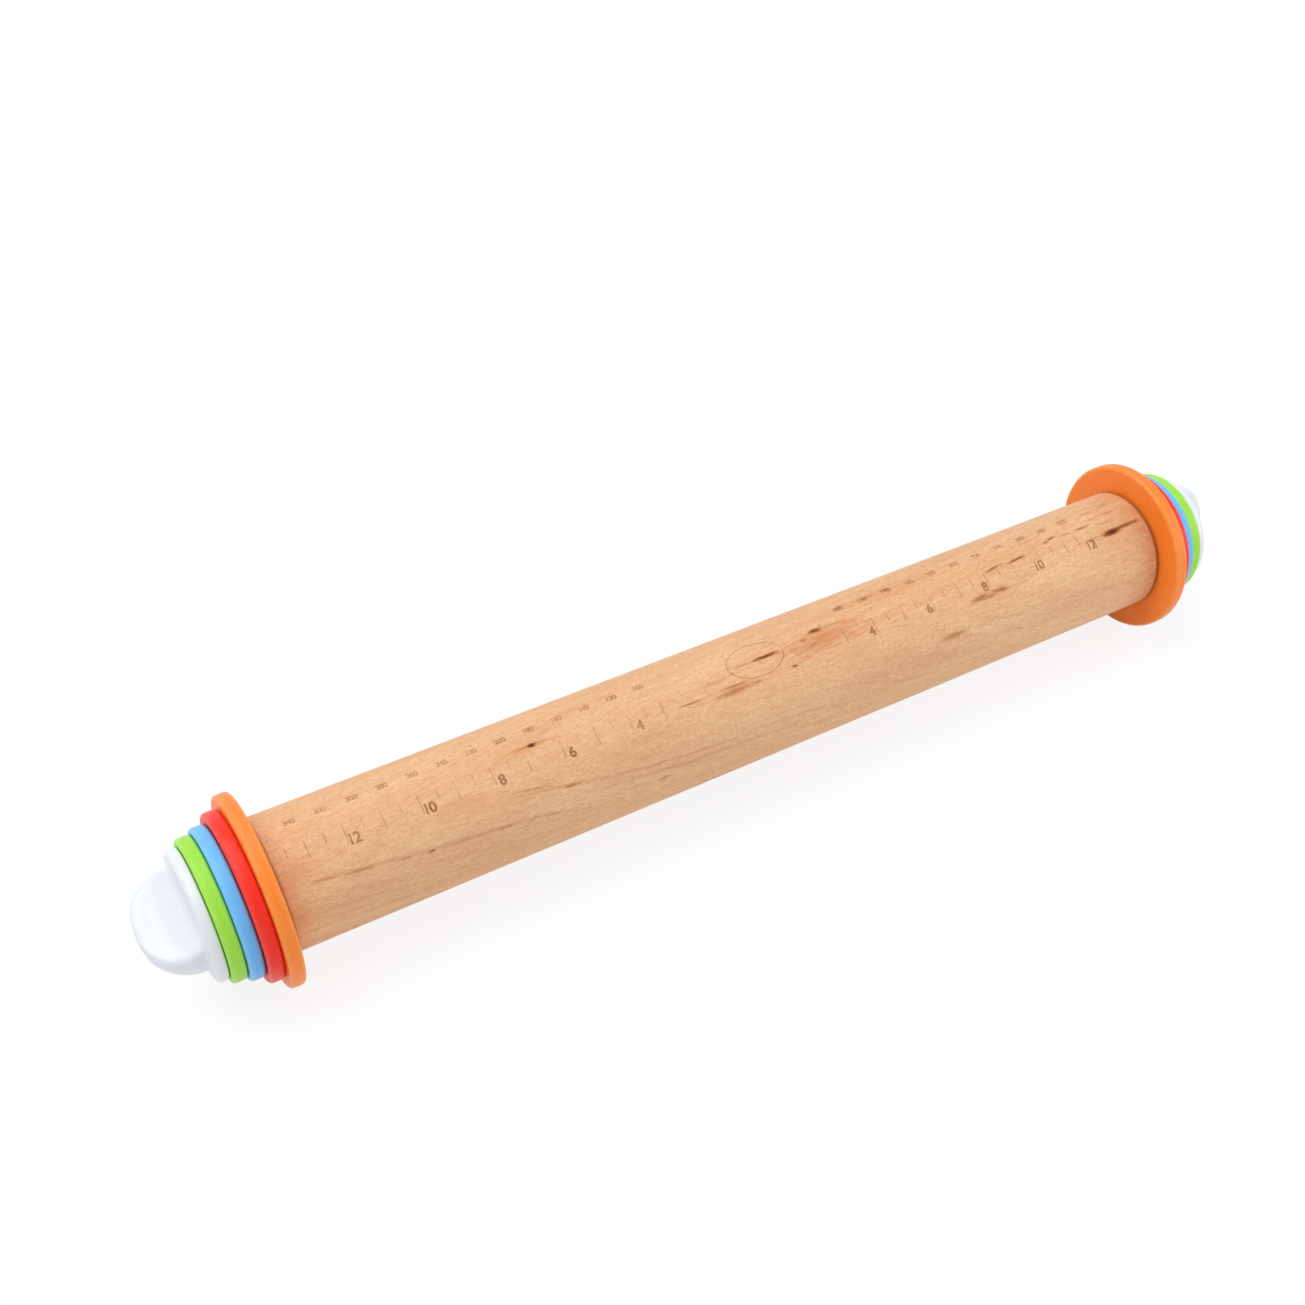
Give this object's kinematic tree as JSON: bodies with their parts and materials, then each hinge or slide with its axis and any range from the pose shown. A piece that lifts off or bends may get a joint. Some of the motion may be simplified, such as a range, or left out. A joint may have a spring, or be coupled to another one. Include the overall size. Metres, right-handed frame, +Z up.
{
  "type": "adjustable rolling pin",
  "caption": "Straight beech rolling pin whose ends carry stacked thickness rings, held on by screw-in turn knobs.",
  "frame": {"origin": "middle of the barrel, on its axis, which is also the centre of the whole pin's box", "axes": "+X along the barrel's axis towards the right end, +Z up, +Y away from the user"},
  "size_m": [0.4402, 0.066, 0.066],
  "materials": {
    "beech": "fine-sanded oiled beech with small dark flecks",
    "nylon": "natural moulded nylon, satin",
    "white_gloss": "white moulded plastic, glossy",
    "orange_plastic": "orange moulded plastic, satin",
    "red_plastic": "red moulded plastic, satin",
    "blue_plastic": "light blue moulded plastic, satin",
    "green_plastic": "lime green moulded plastic, satin"
  },
  "bodies": {
    "barrel": {"barrel": "beech", "left_insert": "nylon", "right_insert": "nylon"},
    "left_orange": {"left_ring_orange": "orange_plastic"},
    "left_red": {"left_ring_red": "red_plastic"},
    "left_blue": {"left_ring_blue": "blue_plastic"},
    "left_green": {"left_ring_green": "green_plastic"},
    "left_knob": {"left_knob_cap": "white_gloss", "left_knob_stud": "nylon"},
    "right_orange": {"right_ring_orange": "orange_plastic"},
    "right_red": {"right_ring_red": "red_plastic"},
    "right_blue": {"right_ring_blue": "blue_plastic"},
    "right_green": {"right_ring_green": "green_plastic"},
    "right_knob": {"right_knob_cap": "white_gloss", "right_knob_stud": "nylon"}
  },
  "joints": [
    {"name": "left_orange_lift", "type": "slide", "parent": "barrel", "child": "left_orange", "axis": [-1, 0, 0], "range_m": [0, 0.00631]},
    {"name": "left_red_lift", "type": "slide", "parent": "barrel", "child": "left_red", "axis": [-1, 0, 0], "range_m": [0, 0.01261]},
    {"name": "left_blue_lift", "type": "slide", "parent": "barrel", "child": "left_blue", "axis": [-1, 0, 0], "range_m": [0, 0.01891]},
    {"name": "left_green_lift", "type": "slide", "parent": "barrel", "child": "left_green", "axis": [-1, 0, 0], "range_m": [0, 0.06001]},
    {"name": "left_knob_turn", "type": "hinge", "parent": "left_green", "child": "left_knob", "pos_m": [-0.1991, 0, 0], "axis": [-1, 0, 0], "range_deg": [0, 4320]},
    {"name": "right_orange_lift", "type": "slide", "parent": "barrel", "child": "right_orange", "axis": [1, 0, 0], "range_m": [0, 0.00631]},
    {"name": "right_red_lift", "type": "slide", "parent": "barrel", "child": "right_red", "axis": [1, 0, 0], "range_m": [0, 0.01261]},
    {"name": "right_blue_lift", "type": "slide", "parent": "barrel", "child": "right_blue", "axis": [1, 0, 0], "range_m": [0, 0.01891]},
    {"name": "right_green_lift", "type": "slide", "parent": "barrel", "child": "right_green", "axis": [1, 0, 0], "range_m": [0, 0.06001]},
    {"name": "right_knob_turn", "type": "hinge", "parent": "right_green", "child": "right_knob", "pos_m": [0.1991, 0, 0], "axis": [1, 0, 0], "range_deg": [0, 4320]}
  ],
  "couplings": [
    {"joint": "left_orange_lift", "follows": "left_knob_turn", "m_per_rad": 0.000083556},
    {"joint": "left_red_lift", "follows": "left_knob_turn", "m_per_rad": 0.00016711},
    {"joint": "left_blue_lift", "follows": "left_knob_turn", "m_per_rad": 0.00025067},
    {"joint": "left_green_lift", "follows": "left_knob_turn", "m_per_rad": 0.00079577},
    {"joint": "right_orange_lift", "follows": "right_knob_turn", "m_per_rad": 0.000083556},
    {"joint": "right_red_lift", "follows": "right_knob_turn", "m_per_rad": 0.00016711},
    {"joint": "right_blue_lift", "follows": "right_knob_turn", "m_per_rad": 0.00025067},
    {"joint": "right_green_lift", "follows": "right_knob_turn", "m_per_rad": 0.00079577}
  ]
}
